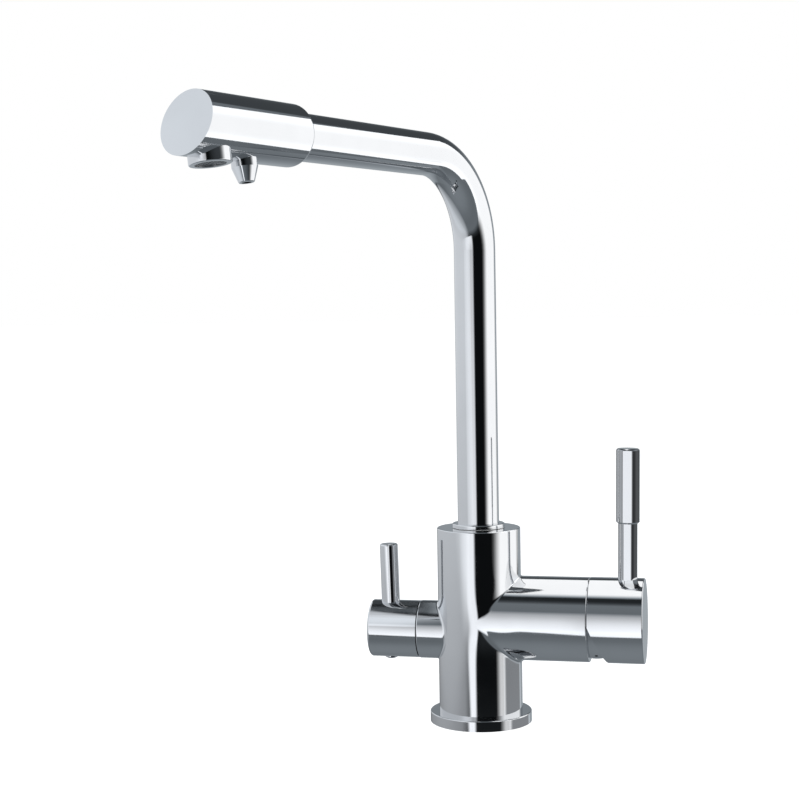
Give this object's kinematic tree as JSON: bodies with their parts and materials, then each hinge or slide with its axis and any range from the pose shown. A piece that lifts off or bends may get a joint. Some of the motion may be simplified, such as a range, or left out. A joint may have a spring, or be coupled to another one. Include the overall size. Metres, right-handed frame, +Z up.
{
  "type": "three-way kitchen mixer tap",
  "caption": "Deck-mounted chrome kitchen mixer tap with a tall swivel spout, a side mixer lever, and a separate lever and outlet nozzle for filtered water.",
  "frame": {"origin": "centre of the base on the worktop", "axes": "+Z up along the body and the spout's swivel axis, +X along the mixer branch towards the main lever, -Y towards the person who stands at the sink"},
  "size_m": [0.1833, 0.2493, 0.3127],
  "materials": {
    "chrome": "polished",
    "steel": "plain",
    "brass": "machined",
    "ceramic": "lapped",
    "white_plastic": "moulded",
    "grey_plastic": "moulded",
    "rubber": "matt"
  },
  "bodies": {
    "tap_body": {"mixer_body": "chrome", "base_ring": "chrome", "base_seal": "rubber", "slip_ring": "white_plastic", "spout_retaining_screw": "steel", "cartridge_base": "white_plastic", "cartridge_seals": "rubber", "cartridge_housing": "white_plastic", "fixed_disc": "ceramic", "cartridge_nut": "brass", "dome_cover": "chrome", "filter_valve_body": "brass", "filter_body_seal": "rubber", "filter_inlet_seal": "rubber", "filter_fixed_disc": "ceramic"},
    "mixing_carrier": {"cartridge_carrier": "white_plastic", "pivot_pin": "steel"},
    "sliding_disc": {"moving_disc": "ceramic", "disc_driver": "white_plastic"},
    "main_lever": {"cartridge_spindle": "steel", "lever_hub": "chrome", "lever_hub_screw": "steel", "lever_rod": "chrome", "lever_grip": "chrome"},
    "filter_handle": {"filter_moving_disc": "ceramic", "filter_spindle": "brass", "filter_spindle_seals": "rubber", "filter_circlip": "steel", "filter_hub": "chrome", "filter_hub_screw": "chrome", "filter_lever": "chrome"},
    "spout": {"spout_tube": "chrome", "spout_collar": "chrome", "spout_ferrule": "brass", "spout_seals": "rubber", "inner_tube": "white_plastic", "inner_tube_plug": "brass", "inner_tube_seal": "rubber", "spout_head": "chrome", "head_connector": "brass", "filter_nozzle": "chrome", "aerator_collar": "chrome", "aerator_insert": "grey_plastic", "aerator_washer": "rubber"}
  },
  "joints": [
    {"name": "spout_swivel", "type": "hinge", "parent": "tap_body", "child": "spout", "pos_m": [0, 0, 0], "axis": [0, 0, 1], "continuous": true},
    {"name": "mix_turn", "type": "hinge", "parent": "tap_body", "child": "mixing_carrier", "pos_m": [0.062, 0, 0.055], "axis": [1, 0, 0], "range_deg": [-45, 45]},
    {"name": "flow_tilt", "type": "hinge", "parent": "mixing_carrier", "child": "main_lever", "pos_m": [0.062, 0, 0.055], "axis": [0, 1, 0], "range_deg": [0, 22]},
    {"name": "disc_slide", "type": "slide", "parent": "mixing_carrier", "child": "sliding_disc", "axis": [0, 0, 1], "range_m": [0, 0.0034]},
    {"name": "filter_turn", "type": "hinge", "parent": "tap_body", "child": "filter_handle", "pos_m": [-0.0463, 0, 0.0476], "axis": [1, 0, 0], "range_deg": [0, 90]}
  ],
  "couplings": [
    {"joint": "disc_slide", "follows": "flow_tilt", "m_per_rad": 0.00878}
  ]
}
